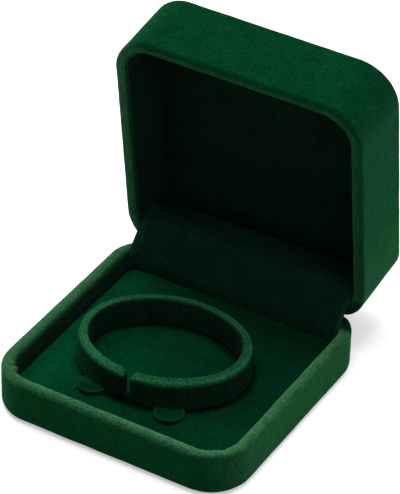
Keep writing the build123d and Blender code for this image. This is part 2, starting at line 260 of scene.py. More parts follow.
def closed_rings(name, rings, place, capped):
    """Closed piece from rings of equal length. Capped ends close on their middle, otherwise the
    last ring joins the first."""
    count, columns = len(rings), len(rings[0])
    points = np.concatenate(rings)
    faces = grid_faces(count, columns, wrap_rows=not capped)
    if capped:
        first, last = len(points), len(points) + 1
        points = np.vstack([points, rings[0].mean(axis=0), rings[-1].mean(axis=0)])
        start = (count - 1) * columns
        for j in range(columns):
            k = (j + 1) % columns
            faces.append((k, j, first))
            faces.append((start + j, start + k, last))
    return add_mesh(name, place(points), faces)


def ruffle(piece, waves, seed):
    """Move a piece's points along their normals by soft noise. Waves are (height, length)."""
    points = read_points(piece)
    moved = np.zeros(len(points))
    for index, (height, length) in enumerate(waves):
        shift = np.array([seed, 3.7 * seed, 1.9 * index])
        moved += height * np.array([noise.noise(p) for p in points / length + shift])
    piece.data.vertices.foreach_set("co", (points + read_normals(piece) * moved[:, None]).ravel())
    piece.data.update()


# Velvet

patch_scale = 130.0
patch_contrast = 0.22
pile_scale = 1400.0
pile_bump = 0.35 * MM
pile_bump_strength = 0.8
# Darkest painted shade, as a share of the colour
darkest_painted_shade = 0.2
sheen_roughness = 0.45


def new_material(name):
    """Empty node material with its principled shader."""
    material = bpy.data.materials.new(name)
    material.use_nodes = True
    shader = material.node_tree.nodes["Principled BSDF"]
    return material, material.node_tree, shader


def node(tree, kind, **values):
    """A node with its settings and its unlinked inputs."""
    made = tree.nodes.new(kind)
    for key, value in values.items():
        if key in made.inputs:
            made.inputs[key].default_value = value
        else:
            setattr(made, key, value)
    return made


def map_range(tree, low, high, least, most):
    """Node that maps low to high onto least to most, and holds the ends."""
    made = node(tree, "ShaderNodeMapRange")
    made.inputs["From Min"].default_value = low
    made.inputs["From Max"].default_value = high
    made.inputs["To Min"].default_value = least
    made.inputs["To Max"].default_value = most
    return made


def velvet_material(name, deep, pale, sheen_tint, grain):
    """Short-pile velvet. Its colour goes from deep to pale, partly as its tone and partly as
    painted light, and darkens as painted shade, as the piece's attribute of tone and painted light
    says, with soft patches and a fine grain. A sheen and a pile bump go over it."""
    material, tree, shader = new_material(name)
    link = tree.links.new
    place = node(tree, "ShaderNodeTexCoord").outputs["Object"]
    patches = node(tree, "ShaderNodeTexNoise", Scale=patch_scale, Detail=6.0, Roughness=0.7)
    grains = node(tree, "ShaderNodeTexNoise", Scale=pile_scale, Detail=3.0, Roughness=0.7)
    for texture in (patches, grains):
        link(place, texture.inputs["Vector"])
    tone_and_painted_light = node(tree, "ShaderNodeAttribute", attribute_name="tone_and_painted_light")
    # The mix towards pale is partly the piece's tone and partly painted light
    color = node(tree, "ShaderNodeMix", data_type="RGBA")
    color.inputs["A"].default_value = (*deep, 1)
    color.inputs["B"].default_value = (*pale, 1)
    link(tone_and_painted_light.outputs["Fac"], color.inputs["Factor"])
    shade = color.outputs["Result"]
    for value, low, high, least, most in (
        (grains.outputs["Fac"], 0.25, 0.75, 1 - grain, 1 + grain),
        (patches.outputs["Fac"], 0.3, 0.7, 1 - patch_contrast, 1 + patch_contrast),
        # Below 0 the attribute paints shade, down to a fifth of the colour at -1
        (tone_and_painted_light.outputs["Fac"], -1, 0, darkest_painted_shade, 1),
    ):
        change = map_range(tree, low, high, least, most)
        link(value, change.inputs["Value"])
        scaled = node(tree, "ShaderNodeVectorMath", operation="SCALE")
        link(shade, scaled.inputs["Vector"])
        link(change.outputs["Result"], scaled.inputs["Scale"])
        shade = scaled.outputs["Vector"]
    link(shade, shader.inputs["Base Color"])
    bump = node(tree, "ShaderNodeBump", Strength=pile_bump_strength, Distance=pile_bump)
    link(grains.outputs["Fac"], bump.inputs["Height"])
    link(bump.outputs["Normal"], shader.inputs["Normal"])
    shader.inputs["Roughness"].default_value = 1.0
    shader.inputs["Specular IOR Level"].default_value = 0.0
    shader.inputs["Sheen Weight"].default_value = max(sheen_tint)
    shader.inputs["Sheen Roughness"].default_value = sheen_roughness
    shader.inputs["Sheen Tint"].default_value = (*[c / max(sheen_tint) for c in sheen_tint], 1)
    return material


outer_velvet = velvet_material(
    "outer_velvet", deep=(0.0001, 0.029, 0.0086), pale=(0.04, 0.138, 0.06),
    sheen_tint=(0.034, 0.17, 0.068), grain=0.85,
)
pad_velvet = velvet_material(
    "pad_velvet", deep=(0.0003, 0.009, 0.004), pale=(0.0003, 0.056, 0.019),
    sheen_tint=(0.017, 0.03, 0.03), grain=0.6,
)
inner_velvet = velvet_material(
    "inner_velvet", deep=(0.0032, 0.0136, 0.0075), pale=(0.004, 0.03, 0.012),
    sheen_tint=(0.022, 0.05, 0.045), grain=0.6,
)
flap_velvet = velvet_material(
    "flap_velvet", deep=(0.0038, 0.021, 0.0112), pale=(0.006, 0.04, 0.02),
    sheen_tint=(0.013, 0.045, 0.028), grain=0.6,
)
ring_velvet = velvet_material(
    "ring_velvet", deep=(0.0042, 0.0205, 0.0125), pale=(0.014, 0.13, 0.046),
    sheen_tint=(0.004, 0.02, 0.01), grain=0.9,
)


def set_painted_light(piece, shares):
    """Paint light and shade on each point of a piece over its tone: 1 is painted light, 0 plain
    and -1 painted shade.
    """
    tone_and_painted_light = piece.data.attributes.new("tone_and_painted_light", "FLOAT", "POINT")
    tone_and_painted_light.data.foreach_set("value", np.clip(shares, -1, 1).astype(np.float32))


def finish_piece(piece, body, material, slot, *nodes):
    """Give a piece its material, seat it on a body, and let it stand for its nodes. Its slot is
    not used.
    """
    piece.data.materials.clear()
    piece.data.materials.append(material)
    if body:
        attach(piece, body)
    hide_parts(*nodes)


# Velvet wraps of the two halves

wrap_spacing = 0.9 * MM
wall_spacing = 1.3 * MM
inner_bend = 0.8 * MM
barrel_step = 0.2 * MM
soft_cloth = ((0.10 * MM, 9 * MM), (0.05 * MM, 2.6 * MM))
# Way the painted light on the rims comes from: the left and back
painted_light_way = np.array([-0.6, 0.8])
# Painted shade at the right end of the hinge
hinge_painted_shade = -0.8
pleat_depth = 3 * MM
pleat_fade = 2 * MM
# Angle in degrees, width, height over the rim and bulge into the tray
corner_pleats = (
    (216, 1.1 * MM, -0.8 * MM, -0.3 * MM), (226, 1.6 * MM, 0.05 * MM, 1.1 * MM),
    (237, 1.1 * MM, -0.6 * MM, -0.2 * MM), (-52, 1.5 * MM, 0.0, 0.3 * MM),
    (-38, 1.3 * MM, -0.4 * MM, -0.2 * MM),
)


def wrap_profile(height, rim, edge_roll, turn_in, first):
    """Section of a wrap as (inset, depth): outside from the far face to the end of the roll,
    then over the rim to the turned-in end, then back inside the velvet."""
    outside = [first]
    outside += line(first, (edge_roll, height), 4)
    outside += arc((edge_roll, height - edge_roll), edge_roll, 90, 180, 8)[1:]
    count = max(8, round((height - edge_roll - rim_roll) / wall_spacing))
    outside += line((0, height - edge_roll), (0, rim_roll), count)
    outside += arc((rim_roll, rim_roll), rim_roll, 180, 270, 8)[1:]
    over = line((rim_roll, 0), (rim - rim_inner_roll, 0), 3)
    over += arc((rim - rim_inner_roll, rim_inner_roll), rim_inner_roll, 270, 360, 7)[1:]
    over += line((rim, rim_inner_roll), (rim, turn_in), 5)
    over += [(rim - velvet, turn_in), (rim - velvet, velvet + 0.7 * MM)]
    inside = [(rim - velvet - 0.6 * MM, velvet), (velvet + inner_bend, velvet)]
    inside += [(velvet, velvet + inner_bend)]
    inside += [(velvet, height - edge_roll), (edge_roll, height - velvet)]
    return outside, over, inside


def bevel(points, axis_depth):
    """Sink the back of a half to its bevel behind the hinge, less and less below the rim."""
    start = hinge_y - bevel_clearance / math.sin(open_angle / 2)
    cut = (points[:, 1] - start) * slope + axis_depth
    cut = 0.5 * (cut + np.sqrt(cut * cut + bevel_softness**2))
    points[:, 2] += cut * (1 - step(points[:, 2], 0, bevel_fade))
    return points


def channel_end(axis_depth, count):
    """Where a wrap ends at the hinge's barrel: the channel's edge, from outside to inside."""
    first = math.degrees(open_angle / 2 + math.asin(bevel_clearance / channel_radius))
    last = math.degrees(open_angle / 2 + math.asin((bevel_clearance + velvet) / channel_radius))
    return arc((hinge_y, axis_depth), channel_radius, first, last, count)


def pleat(points, angle, width, height, bulge):
    """Raise or sink a small fold across the rim at an angle in degrees round a front corner,
    and push its inner end into the tray."""
    corner_x = math.copysign(box_width / 2 - front_corner, math.cos(math.radians(angle)))
    away = points[:, :2] - np.array([corner_x, -box_depth / 2 + front_corner])
    turned = np.arctan2(away[:, 1], away[:, 0]) - math.radians(angle)
    across = np.arctan2(np.sin(turned), np.cos(turned)) * front_corner / width
    radius = np.linalg.norm(away, axis=1)
    share = np.exp(-across**2) * (1 - step(points[:, 2], 0, pleat_depth))
    inset = front_corner - radius
    inner = share * step(inset, pleat_fade, 2 * pleat_fade)
    outer = step(inset, pleat_fade + rim_edge, rim_edge)
    points[:, :2] -= away / radius[:, None] * (bulge * inner)[:, None]
    points[:, 2] -= height * share * (1 - 0.9 * outer)


def wrap_rings(height, rim, edge_roll, turn_in, axis_depth, first, *last):
    """All rings of a wrap, bevelled at the back and cut short at the hinge's barrel."""
    nudge = 0.02 * MM
    notch = [channel_half_width, channel_half_width + nudge]
    plan = outline(
        box_width / 2 + pile, -box_depth / 2 - pile, box_depth / 2 + pile, front_corner + pile,
        corner_radius + pile, wrap_spacing, notch + [-x for x in notch],
    )
    outside, over, inside = wrap_profile(height, rim + pile, edge_roll, turn_in, first)
    spots = outside + over + inside + list(last)
    rings = [bevel(ring_at(plan, *spot), axis_depth) for spot in spots]
    for ring in rings:
        for fold in corner_pleats:
            pleat(ring, *fold)
    at_barrel = (np.abs(rings[0][:, 0]) < channel_half_width + nudge / 2) & (plan[1][:, 1] > 0.5)
    for k, (y, depth) in enumerate(channel_end(axis_depth, len(over))):
        ring = rings[len(outside) + k]
        ring[at_barrel, 1] = y
        ring[at_barrel, 2] = depth
    y, depth = channel_end(axis_depth, 2)[-1]
    for k in (1, 2):
        ring = rings[len(outside) + len(over) + k - 1]
        ring[at_barrel, 1] = y + k * barrel_step
        ring[at_barrel, 2] = depth + k * barrel_step * slope
    return rings


def wall_distance(x, y):
    """Inset of points of a half from its outline, and the way the outline there faces."""
    straight_x, straight_y = box_width / 2 - corner_radius, box_depth / 2 - corner_radius
    side, away = np.abs(x) - straight_x, np.abs(y) - straight_y
    out = np.stack([np.maximum(side, 0), np.maximum(away, 0)], axis=1)
    within = np.minimum(np.maximum(side, away), 0)
    reach = np.linalg.norm(out, axis=1)
    inset = corner_radius - reach - within
    flat_side = np.stack([side > away, side <= away], axis=1).astype(float)
    facing = np.where((reach > 1e-6)[:, None], out / np.maximum(reach, 1e-6)[:, None], flat_side)
    facing *= np.sign(np.stack([x, y], axis=1))
    return inset, facing


def rim_painted_light(x, y, depth, rim, level, slant, left, wall, front_edge_shade):
    """Painted light and shade of a wrap. The rim is painted lighter by the level, and by the slant
    more on the side that faces the painted light's way. Left paints the left rim's face lighter
    and its inner edge darker, wall paints a wall that faces right lighter, or darker below 0, and
    dip paints shade on the front rim's outer edge. At the hinge's right end all of it is painted
    shade."""
    inset, way = wall_distance(x, y)
    leftward, rightward = step(way[:, 0], 0, -1), step(way[:, 0], 0.28, 0.98)
    frontward = step(way[:, 1], 0, -1)
    across = np.clip((inset - rim / 2) / (rim / 2), -1, 1)
    on_rim = 1 - step(depth, 0.6 * MM, 1.8 * MM)
    near_hinge = step(y, 36 * MM, 40 * MM) * step(x, 0, 30 * MM)
    level = level - slant * across * (way @ painted_light_way)
    level += left * leftward * (step(across, 1, 0.85) - 1.2 * step(across, 0.9, 1))
    level -= front_edge_shade * frontward * step(across, -0.2, -0.7)
    level += (hinge_painted_shade - level) * near_hinge
    return level * on_rim + wall * rightward * (1 - on_rim)


base_body_height = base_height - panel_proud
base_wrap = closed_rings(
    "base_velvet",
    wrap_rings(
        base_body_height, base_rim, base_edge_roll, base_turn_in, 0, (hem_width, base_body_height),
        (hem_width, base_body_height - velvet),
    ),
    base_place,
    capped=False,
)
ruffle(base_wrap, soft_cloth, 1)
finish_piece(base_wrap, "base", outer_velvet, "outer_velvet", "base_cover")
base_x, base_y, base_z = read_points(base_wrap).T
# Painted light on the base's wrap: lighter rims, most towards the left and back, and a lighter
# right wall
set_painted_light(base_wrap, rim_painted_light(
    base_x, base_y, base_height - base_z, base_rim,
    level=0.64, slant=0.6, left=0.0, wall=0.15, front_edge_shade=0.0,
))

lid_body_height = lid_height + lid_puff
lid_rings = wrap_rings(
    lid_body_height, lid_rim, lid_edge_roll, lid_turn_in, -rim_gap,
    (lid_face_start, lid_body_height),
)
far_face = disc_rings(lid_rings[0], np.linspace(0.04, 0.98, 22))
hidden_face = disc_rings(lid_rings[-1], [0.96, 0.4, 0.04])
lid_wrap = closed_rings("lid_velvet", far_face + lid_rings + hidden_face, lid_place, capped=True)
ruffle(lid_wrap, soft_cloth, 2)
finish_piece(lid_wrap, "lid", outer_velvet, "outer_velvet", "lid_cover")
lid_x = read_points(lid_wrap)[:, 0]
lid_y, lid_depth = lid_local(read_points(lid_wrap))
# Painted light and shade on the lid's wrap: a little lighter rims, and a right wall painted darker
# at the top and lighter towards the hinge
set_painted_light(lid_wrap, rim_painted_light(
    lid_x, lid_y, lid_depth, lid_rim,
    level=0.14, slant=0.14, left=0.3, wall=-0.1 + 0.3 * step(lid_y, -10 * MM, 45 * MM), front_edge_shade=0.2,
))


# Velvet strips on the side walls

lining = 0.7 * MM
lining_clearance = 0.1 * MM
lining_start = 2.0 * MM
lining_turn = math.radians(68)
lining_spacing = 1.5 * MM
lining_lead = 0.12 * MM
lining_lead_step = 0.5 * MM
board = 1.6 * MM


def wall_strip(name, rim, end, place, seed):
    """Velvet strip round the front and side walls of a half, which starts thin below the rim."""
    near = rim + lining_clearance
    far = near + lining
    plan = outline(
        box_width / 2, -box_depth / 2, box_depth / 2, front_corner, corner_radius, lining_spacing
    )
    section = [
        (near + lining_lead + (lining - lining_lead) * smooth(k / 8),
         lining_start + k * lining_lead_step)
        for k in range(9)
    ]
    section += line(section[-1], (far, end), 8) + line((far, end), (near, end), 1)
    section += line((near, end), (near, lining_start), 6)
    stations = np.stack([ring_at(plan, *spot) for spot in section], axis=1)
    keep = (plan[1][:, 1] < math.sin(lining_turn)) | (plan[0][:, 1] < 0)
    start = int(np.argmax(~keep & np.roll(keep, 1)))
    order = np.roll(np.arange(len(keep)), -start)
    stations = stations[order[keep[order]]]
    count, columns = stations.shape[:2]
    faces = grid_faces(count, columns)
    faces.append(tuple(range(columns)))
    faces.append(tuple(reversed(range((count - 1) * columns, count * columns))))
    piece = add_mesh(name, place(stations.reshape(-1, 3)), faces)
    ruffle(piece, ((0.05 * MM, 5 * MM),), seed)
    return piece


floor_depth = base_body_height - skin - board
base_strip = wall_strip("base_wall_velvet", base_rim, floor_depth, base_place, 3)
finish_piece(base_strip, "base", inner_velvet, "inner_velvet", "base_wall_lining")
lid_floor_depth = lid_height - skin - board
lid_strip = wall_strip("lid_wall_velvet", lid_rim, lid_floor_depth, lid_place, 4)
finish_piece(lid_strip, "lid", inner_velvet, "inner_velvet", "lid_wall_lining")


# Pads: one in the base and one in the lid

pad_spacing = 1.4 * MM
pad_edge_roll = 0.9 * MM
pad_face_inset = 2.9 * MM
pad_back_radius = 4.0 * MM
panel_back_radius = 3.3 * MM
panel_inset = lid_rim + lining_clearance + lining + 0.3 * MM
panel_back = box_depth / 2 - 5.9 * MM
panel_face = lid_floor_depth - 2.8 * MM
seam_x = np.array([-44, -40, -37, -30, -24, -5, 11, 31, 44]) * MM
seam_bow = np.array([1.2, 1.5, 1.5, 1.3, 1.0, 0.5, 0.2, -0.2, -0.4]) * MM


def pad_piece(name, plan, place, seed, face, under, thick, crown):
    """Padded face turned down round its edge, open underneath. Face and under are depths, thick
    is the cover's thickness, and crown is how far its middle stands up."""
    roll = pad_edge_roll
    spots = line((pad_face_inset, face), (roll, face), 3)
    spots += arc((roll, face + roll), roll, 270, 180, 7)[1:]
    spots += line((0, face + roll), (0, under), 3)
    spots += [(thick, under), (thick, face + thick + 0.2 * MM), (thick + 0.4 * MM, face + thick)]
    outer = disc_rings(ring_at(plan, pad_face_inset, face), np.linspace(0.03, 1, 26))
    inner = disc_rings(ring_at(plan, pad_face_inset, face + thick), [1, 0.5, 0.03])
    rings = outer + [ring_at(plan, *spot) for spot in spots] + inner
    middle = outer[-1].mean(axis=0)
    half = np.abs(outer[-1] - middle).max(axis=0)
    for ring in rings:
        across = 1 - ((ring[:, :2] - middle[:2]) / half[:2]) ** 2
        ring[:, 2] -= crown * np.clip(across, 0, 1).prod(axis=1)
    piece = closed_rings(name, rings, place, capped=True)
    ruffle(piece, ((0.16 * MM, 16 * MM), (0.04 * MM, 3 * MM)), seed)
    return piece


def seam_shift(x):
    """How far the cloth pulls the seam above the flap out of line, along the lid's y."""
    return np.interp(x, seam_x, seam_bow)


def panel_place(points):
    """From the lid's own coordinates to the frame, with the back edge bent along the seam."""
    points = points.copy()
    near = step(points[:, 1], panel_back - 5 * MM, panel_back - 1 * MM)
    points[:, 1] += near * seam_shift(points[:, 0])
    return lid_place(points)


pad_plan = outline(
    pad_high.x, pad_low.y, pad_high.y, corner_radius - (box_width / 2 - pad_high.x),
    pad_back_radius, pad_spacing,
)
pad = pad_piece(
    "pad_velvet", pad_plan, base_place, 5, face=base_height - pad_high.z,
    under=base_height - pad_low.z, thick=0.8 * MM, crown=0.1 * MM,
)
finish_piece(pad, "base", pad_velvet, "inner_velvet", "pad_cover")

panel_plan = outline(
    box_width / 2 - panel_inset, -box_depth / 2 + panel_inset, panel_back,
    corner_radius - panel_inset, panel_back_radius, pad_spacing,
)
panel = pad_piece(
    "lid_panel_velvet", panel_plan, panel_place, 6, face=panel_face,
    under=lid_floor_depth - 0.02 * MM, thick=0.75 * MM, crown=0.15 * MM,
)
finish_piece(panel, "lid", inner_velvet, "inner_velvet", "lid_panel_cover")
# Painted light on the panel, lighter towards its back, with painted shade in the crease at its
# back edge
panel_x = read_points(panel)[:, 0]
panel_y = lid_local(read_points(panel))[0]
face_end = seam_shift(panel_x) + panel_back - 0.35 * MM
edge_crease_shade = step(panel_y, face_end, face_end + 0.3 * MM)
set_painted_light(panel, 0.5 * step(panel_y, 14 * MM, 38 * MM) * (1 - edge_crease_shade) - edge_crease_shade)


# Bracelet ring

pad_top = pad_high.z
ring_center = np.array([-2.8, -3.8]) * MM
ring_length = 60.2 * MM
ring_breadth = 48.0 * MM
ring_end_radius = 20.5 * MM
ring_turn = math.radians(10)
ring_band = 3.3 * MM
ring_height = 11.5 * MM
ring_gap = 1.8 * MM
ring_gap_place = -4.6 * MM
ring_gap_turn = math.radians(2)
ring_spacing = 0.2 * MM
# Roundings of the section: outer foot, inner top, outer top and inner foot
section_rounds = (0.9 * MM, 0.8 * MM, 1.5 * MM, 0.9 * MM)
# Length and height of the elliptical corner at the foot and at the top of each tip
right_tip_rounds = ((5.2 * MM, 7.6 * MM), (2.2 * MM, 2.8 * MM))
left_tip_rounds = ((7.5 * MM, 4.0 * MM), (3.0 * MM, 2.8 * MM))
tip_length = 4.6 * MM
tip_edge = 1.3 * MM
ring_puff = 0.4 * MM
ring_side_puff = 0.25 * MM
ring_flare = 0.3 * MM


def ring_line():
    """Middle line of the band as a function of length, from the gap's right tip round to its
    left one: points and outward normals in the ring's own plane."""
    end_x = ring_length / 2 - ring_end_radius
    half = ring_breadth / 2
    side_radius = (end_x**2 + half**2 - ring_end_radius**2) / (2 * (half - ring_end_radius))
    side_y = side_radius - half
    spread = math.atan2(side_y, end_x)
    middle = ring_band / 2
    pieces = (
        ((0, side_y), side_radius - middle, -math.pi / 2, -spread),
        ((end_x, 0), ring_end_radius - middle, -spread, spread),
        ((0, -side_y), side_radius - middle, spread, math.pi - spread),
        ((-end_x, 0), ring_end_radius - middle, math.pi - spread, math.pi + spread),
        ((0, side_y), side_radius - middle, math.pi + spread, 1.5 * math.pi),
    )
    points, normals = [], []
    for center, radius, first, last in pieces:
        count = max(4, round(abs(last - first) * radius / ring_spacing))
        for angle in np.linspace(first, last, count, endpoint=False):
            direction = np.array([math.cos(angle), math.sin(angle)])
            normals.append(direction)
            points.append(np.array(center) + radius * direction)
    points, normals = np.array(points), np.array(normals)
    past_gap = points[:, 0] - ring_gap_place + (points[:, 1] + half) * math.tan(ring_gap_turn)
    inside_gap = (points[:, 1] < 0) & (np.abs(past_gap) < ring_gap / 2)
    start = int(np.argmax(~inside_gap & np.roll(inside_gap, 1)))
    order = np.roll(np.arange(len(points)), -start)
    order = order[~inside_gap[order]]
    return points[order], normals[order]


def tip_drop(away, length, height):
    """How far an elliptical corner has cut in at a distance from a tip."""
    share = max(0, length - away) / length
    return height * (1 - math.sqrt(max(0, 1 - share**2)))


def ring_section(foot, top, width):
    """Closed section of the band as (out, up): rounded, most at its outer top edge."""
    half = width / 2
    outer_foot, inner_top, outer_top, inner_foot = np.minimum(section_rounds, 0.95 * half)
    spots = arc((half - outer_foot, foot + outer_foot), outer_foot, -90, 0, 5)
    spots += line(spots[-1], (half, top - outer_top), 9)
    spots += arc((half - outer_top, top - outer_top), outer_top, 0, 90, 8)[1:]
    spots += line(spots[-1], (-half + inner_top, top), 2)
    spots += arc((-half + inner_top, top - inner_top), inner_top, 90, 180, 6)[1:]
    spots += line(spots[-1], (-half, foot + inner_foot), 9)
    spots += arc((-half + inner_foot, foot + inner_foot), inner_foot, 180, 270, 5)[1:]
    spots += line(spots[-1], (half - outer_foot, foot), 3)[:-1]
    return spots


def ring_place(points):
    """From the ring's own plane to the frame, turned and on the pad."""
    turned = points @ np.array(Matrix.Rotation(ring_turn, 3, "Z")).T
    return turned + np.array([*ring_center, pad_top])


def ring_piece():
    """The C-shaped velvet band with its rounded tips."""
    points, normals = ring_line()
    lengths = np.linalg.norm(np.diff(points, axis=0), axis=1)
    length = np.concatenate([[0], np.cumsum(lengths)])
    total = length[-1]
    near_tip = tip_length * (1 - np.cos(np.linspace(0, math.pi / 2, 18)))
    inner = np.linspace(tip_length, total - tip_length, 150)[1:-1]
    rings = []
    for spot in np.concatenate([near_tip, inner, total - near_tip[::-1]]):
        at = np.array([np.interp(spot, length, points[:, k]) for k in range(2)])
        out = np.array([np.interp(spot, length, normals[:, k]) for k in range(2)])
        out /= np.linalg.norm(out)
        tip = min(spot, total - spot)
        low_round, high_round = right_tip_rounds if spot < total / 2 else left_tip_rounds
        low, high = tip_drop(tip, *low_round), tip_drop(tip, *high_round)
        narrow = tip_drop(tip, tip_edge, tip_edge)
        ring = []
        for away, up in ring_section(low, ring_height + ring_puff - high, ring_band - 2 * narrow):
            flare = ring_flare * (1 - up / ring_height) ** 2
            outward = away + flare + ring_side_puff * smooth(0.5 + away / ring_band)
            ring.append((*(at + out * outward), up))
        rings.append(np.array(ring))
    return closed_rings("ring_velvet", rings, ring_place, capped=True)


def ring_painted_light(piece):
    """Painted light of the ring: lighter on its top, most on the left, with a painted highlight on
    its outer top edge. The inner roll gets painted shade, and the outer side is painted lighter to
    the left."""
    points, normals = read_points(piece), read_normals(piece)
    up = (points[:, 2] - pad_top) / ring_height
    outward = (points[:, :2] - ring_center) / [ring_length, ring_breadth]
    outward /= np.linalg.norm(outward, axis=1)[:, None]
    facing, level = (normals[:, :2] * outward).sum(axis=1), normals[:, 2]
    outer, inner = step(facing, 0.1, 0.5), step(facing, -0.1, -0.5)
    inner_roll = step(facing, -0.15, -0.65) * step(level, 0.1, 0.4)
    sideward = outward @ [0.86, 0.51]
    top_painted_light = 0.24 + 0.35 * step(sideward, -1 / 3, -1) + 0.05 * step(sideward, 0, 1)
    top_painted_light += 0.1 * step(outward[:, 1], 0, -1) - 0.5 * inner_roll
    outer_painted_light = 0.02 + 0.57 * step(outward @ [-0.9, 0.3], -0.2, 0.9)
    outer_painted_light += 0.05 * step(outward[:, 0], 0, 1)
    side_painted_light = outer_painted_light * outer + 0.06 * inner
    on_top = step(level, 0.3, 0.7)
    outer_edge_highlight = 0.65 * step(up, 0.8, 0.95) * outer
    return np.maximum(on_top * top_painted_light + (1 - on_top) * side_painted_light, outer_edge_highlight)


def pad_painted_light(piece):
    """Painted light of the pad: lighter, most on the left, with a painted highlight along its back
    edge, painted shade along its front edge and in a soft patch on the right, and painted shadow
    round the ring's foot, most in front of it."""
    x, y = read_points(piece)[:, :2].T
    across, along = x / pad_high.x, y / pad_high.x
    painted_light_fall = 0.98 - 0.3 * across - 0.27 * along + 0.28 * across**2 - 0.11 * along**2
    painted_light_fall += 0.35 * step(across, -0.6, -0.9) - 0.2 * step(along, -0.6, -0.8)
    painted_light_fall -= 0.2 * np.exp(-((x - 36 * MM) ** 2 + (y + 8 * MM) ** 2) / (14 * MM) ** 2)
    back_edge_highlight = step(y, pad_high.y - 1.0 * MM, pad_high.y - 0.4 * MM)
    spots = np.column_stack([x, y])
    band = ring_line()[0] @ np.array(Matrix.Rotation(ring_turn, 2)).T + ring_center
    to_band = np.array([np.linalg.norm(band[::4] - spot, axis=1).min() for spot in spots])
    front_right = step((spots - ring_center) @ [0.5, -0.85], -20 * MM, 20 * MM)
    foot_shadow = step(to_band, ring_band / 2 + 2.6 * MM, ring_band / 2) * (0.25 + 0.75 * front_right)
    return 0.49 * painted_light_fall - 0.15 + 0.34 * back_edge_highlight - 0.9 * foot_shadow


ring = ring_piece()
ruffle(ring, ((0.10 * MM, 7 * MM), (0.05 * MM, 2.2 * MM)), 7)
finish_piece(ring, "base", ring_velvet, "ring_velvet", "ring_cover")
set_painted_light(ring, ring_painted_light(ring))
set_painted_light(pad, pad_painted_light(pad))


# The ring's two tongues

tongue_width = 10.6 * MM
tongue_length = 11.0 * MM
tongue_thickness = 1.1 * MM
tongue_roll = 0.45 * MM
tongue_lift = 0.9 * MM


def tongue(name, x, front, seed):
    """Half-oval velvet tongue whose front edge stands a little off the pad."""
    thick, roll = tongue_thickness, tongue_roll
    angles = np.linspace(0, 2 * math.pi, 72, endpoint=False)
    oval = np.column_stack([np.cos(angles) * tongue_width / 2, np.sin(angles) * tongue_length / 2])
    outward = np.column_stack([np.cos(angles) / tongue_width, np.sin(angles) / tongue_length])
    outward /= np.linalg.norm(outward, axis=1)[:, None]

    def lifted(inset, up, share=1):
        flat = (oval - outward * inset) * share
        lift = tongue_lift * step(flat[:, 1], tongue_length / 2, -tongue_length / 2)
        return np.column_stack([flat, up + lift])

    rings = [lifted(roll, thick, share) for share in (0.05, 0.3, 0.6, 0.85)]
    rings += [
        lifted(roll * (1 - math.cos(a)), thick - roll * (1 - math.sin(a)))
        for a in np.linspace(math.pi / 2, 0, 5)
    ]
    rings += [lifted(0.1 * MM, 0.1 * MM), lifted(0.3 * MM, 0), lifted(1.5 * MM, 0)]
    rings.append(lifted(1.5 * MM, 0, 0.05))
    middle = np.array([x, front + tongue_length / 2, pad_top])
    piece = closed_rings(name, rings, lambda points: points + middle, capped=True)
    ruffle(piece, ((0.06 * MM, 4 * MM),), seed)
    return piece


for name, x, front, seed, node_name in (
    ("tongue_left", -17.5 * MM, -32.5 * MM, 8, "tab_left"),
    ("tongue_right", 12.5 * MM, -31.7 * MM, 9, "tab_right"),
):
    piece = tongue(name, x, front, seed)
    finish_piece(piece, "base", pad_velvet, "ring_velvet", node_name)
    # Painted light on each tongue: lighter all over as its tone, a painted highlight round its
    # edge and painted shade towards its front
    spots = read_points(piece)[:, :2] - [x, front + tongue_length / 2]
    reach = 2 * np.linalg.norm(spots / [tongue_width, tongue_length], axis=1)
    front_shade = 0.15 * step(spots[:, 1], 0, -3 * MM)
    set_painted_light(piece, 0.36 + 0.4 * step(reach, 0.86, 0.94) - front_shade)


# Velvet flap over the hinge


def lid_spot(y, depth):
    """(y, z) of a point of the open lid."""
    return lid_place(np.array([[0, y, depth]]))[0, 1:]


def run_path(points, counts):
    """Points along straight runs, with so many on each run."""
    path = [points[0]]
    for start, end, count in zip(points, points[1:], counts):
        path += line(start, end, count)
    return np.array(path)


def soften(path, last, passes):
    """Round the bends of a path up to its last soft point."""
    for _ in range(passes):
        path[1:last] = (path[:last - 1] + 2 * path[1:last] + path[2:last + 1]) / 4
    return path


flap_thickness = 0.95 * MM
flap_corner = 32.9 * MM
flap_curl_radius = 10.1 * MM
flap_curl = math.radians(78)
flap_taper = 2.2 * MM
flap_draw_in = 1.35 * MM
flap_front = pad_high.y + 0.35 * MM
flap_low = base_height - floor_depth + 0.1 * MM
seam_row = 49
seam_fade_rows = 12
seam = lid_spot(panel_back + 0.45 * MM, panel_face + 0.35 * MM)
tuck = lid_spot(panel_back + 0.3 * MM, lid_floor_depth - 0.3 * MM)
flap_apex = (flap_front + 8.7 * MM, hinge_z + 10.3 * MM)
flap_middle = soften(
    run_path(
        [(flap_front, flap_low), (flap_front, pad_high.z), flap_apex, seam, tuck], (7, 20, 22, 4)
    ),
    seam_row, 40,
)
flap_side = soften(
    run_path(
        [
            (flap_front - 2.3 * MM, flap_low), (36.0 * MM, 12.6 * MM),
            (36.6 * MM, 14.5 * MM), (38.2 * MM, 18.0 * MM), (42.0 * MM, 21.8 * MM),
            lid_spot(36.7 * MM, 1.4 * MM), lid_spot(35.2 * MM, 4.3 * MM),
            lid_spot(35.0 * MM, 8.4 * MM), lid_spot(34.2 * MM, 11.3 * MM),
            lid_spot(36.8 * MM, 16.5 * MM), lid_spot(40.6 * MM, 20.8 * MM),
            lid_spot(41.4 * MM, panel_face + 0.8 * MM),
        ],
        (7, 3, 4, 5, 4, 4, 6, 5, 7, 4, 4),
    ),
    seam_row + 4, 3,
)


